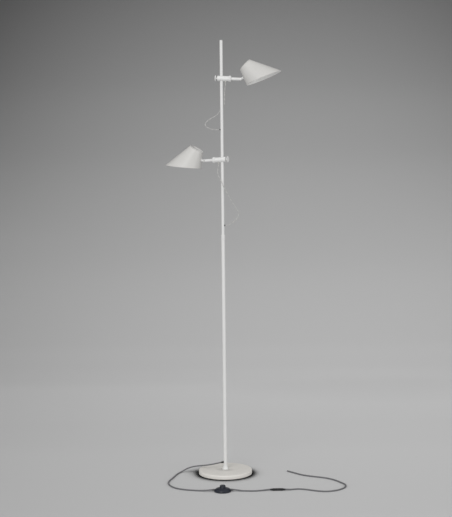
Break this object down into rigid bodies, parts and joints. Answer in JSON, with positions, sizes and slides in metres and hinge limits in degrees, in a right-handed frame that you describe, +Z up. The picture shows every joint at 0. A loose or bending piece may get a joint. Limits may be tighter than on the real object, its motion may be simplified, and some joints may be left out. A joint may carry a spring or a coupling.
{
  "type": "floor lamp",
  "caption": "Free-standing floor lamp: a thin stepped pole on a weighted round base, with cone-shaded heads on sliding clamps, a foot switch and a mains cord.",
  "frame": {"origin": "middle of the base pad's underside, on the floor", "axes": "+Z up along the pole; +X towards the side of the upper head; -Y towards the front, where the foot switch lies"},
  "size_m": [0.6431, 0.394, 1.6],
  "materials": {
    "lacquer": "satin",
    "steel": "satin",
    "weight": "matte",
    "felt": "matte",
    "black_plastic": "matte",
    "switch_plastic": "satin",
    "liner_plastic": "matte",
    "cable_plastic": "satin",
    "cord_plastic": "matte",
    "brass": "satin",
    "frosted_glass": "satin"
  },
  "bodies": {
    "pole": {"base_pad": "felt", "base_weight": "weight", "base_cover": "lacquer", "base_washer": "steel", "base_bolt": "steel", "foot_collar": "lacquer", "foot_plug": "steel", "lower_tube": "lacquer", "joint_ferrule": "lacquer", "upper_tube": "lacquer", "top_cap": "lacquer", "riser_leads": "cable_plastic", "mains_gland": "black_plastic", "hole_grommets": "black_plastic", "upper_cable": "cable_plastic", "lower_cable": "cable_plastic", "mains_cord_base": "cord_plastic", "mains_cord_link": "cord_plastic", "mains_cord_tail": "cord_plastic", "switch_base": "switch_plastic", "switch_cover": "switch_plastic", "switch_spring": "steel", "switch_terminals": "brass", "switch_sleeves": "black_plastic", "connector_socket": "black_plastic", "connector_plug": "black_plastic", "connector_pin": "brass"},
    "upper_slider": {"upper_liner": "liner_plastic", "upper_cable_twist": "cable_plastic"},
    "upper_clamp_body": {"upper_clamp": "lacquer", "upper_collar": "lacquer", "upper_grommet": "liner_plastic"},
    "upper_screw": {"upper_thumbscrew": "lacquer"},
    "upper_arm_body": {"upper_washer": "steel", "upper_arm": "lacquer", "upper_pivot_screw": "steel"},
    "upper_shade_body": {"upper_knuckle": "lacquer", "upper_shade": "lacquer", "upper_shade_nut": "steel", "upper_bracket": "steel", "upper_lampholder": "black_plastic", "upper_bulb": "frosted_glass"},
    "lower_slider": {"lower_liner": "liner_plastic", "lower_cable_twist": "cable_plastic"},
    "lower_clamp_body": {"lower_clamp": "lacquer", "lower_collar": "lacquer", "lower_grommet": "liner_plastic"},
    "lower_screw": {"lower_thumbscrew": "lacquer"},
    "lower_arm_body": {"lower_washer": "steel", "lower_arm": "lacquer", "lower_pivot_screw": "steel"},
    "lower_shade_body": {"lower_knuckle": "lacquer", "lower_shade": "lacquer", "lower_shade_nut": "steel", "lower_bracket": "steel", "lower_lampholder": "black_plastic", "lower_bulb": "frosted_glass"},
    "switch_button_body": {"switch_button": "switch_plastic"}
  },
  "joints": [
    {"name": "upper_head_height", "type": "slide", "parent": "pole", "child": "upper_slider", "axis": [0, 0, 1], "range_m": [-0.12, 0.07], "deforming": ["upper_cable"]},
    {"name": "upper_head_swivel", "type": "hinge", "parent": "upper_slider", "child": "upper_clamp_body", "pos_m": [0, 0, 1.462], "axis": [0, 0, 1], "range_deg": [-170, 170], "deforming": ["upper_cable_twist"]},
    {"name": "upper_thumbscrew_turn", "type": "hinge", "parent": "upper_clamp_body", "child": "upper_screw", "pos_m": [0, 0, 1.462], "axis": [0.9889, -0.139, -0.0523], "range_deg": [0, 360]},
    {"name": "upper_arm_roll", "type": "hinge", "parent": "upper_clamp_body", "child": "upper_arm_body", "pos_m": [0.06824, -0.00959, 1.45839], "axis": [0.9889, -0.139, -0.0523], "range_deg": [-90, 90]},
    {"name": "upper_shade_tilt", "type": "hinge", "parent": "upper_arm_body", "child": "upper_shade_body", "pos_m": [0.06824, -0.00959, 1.45839], "axis": [0.1392, 0.9903, 0], "range_deg": [-44, 96]},
    {"name": "lower_head_height", "type": "slide", "parent": "pole", "child": "lower_slider", "axis": [0, 0, 1], "range_m": [-0.15, 0.06], "deforming": ["lower_cable"]},
    {"name": "lower_head_swivel", "type": "hinge", "parent": "lower_slider", "child": "lower_clamp_body", "pos_m": [0, 0, 1.168], "axis": [0, 0, 1], "range_deg": [-170, 170], "deforming": ["lower_cable_twist"]},
    {"name": "lower_thumbscrew_turn", "type": "hinge", "parent": "lower_clamp_body", "child": "lower_screw", "pos_m": [0, 0, 1.168], "axis": [-0.9384, 0.3416, -0.0523], "range_deg": [0, 360]},
    {"name": "lower_arm_roll", "type": "hinge", "parent": "lower_clamp_body", "child": "lower_arm_body", "pos_m": [-0.06475, 0.02357, 1.16439], "axis": [-0.9384, 0.3416, -0.0523], "range_deg": [-90, 90]},
    {"name": "lower_shade_tilt", "type": "hinge", "parent": "lower_arm_body", "child": "lower_shade_body", "pos_m": [-0.06475, 0.02357, 1.16439], "axis": [-0.342, -0.9397, 0], "range_deg": [-60, 80]},
    {"name": "switch_press", "type": "slide", "parent": "pole", "child": "switch_button_body", "axis": [0, 0, -1], "range_m": [0, 0.003], "stiffness_N_per_m": 600, "springref_m": -0.005, "deforming": ["switch_spring"]}
  ]
}
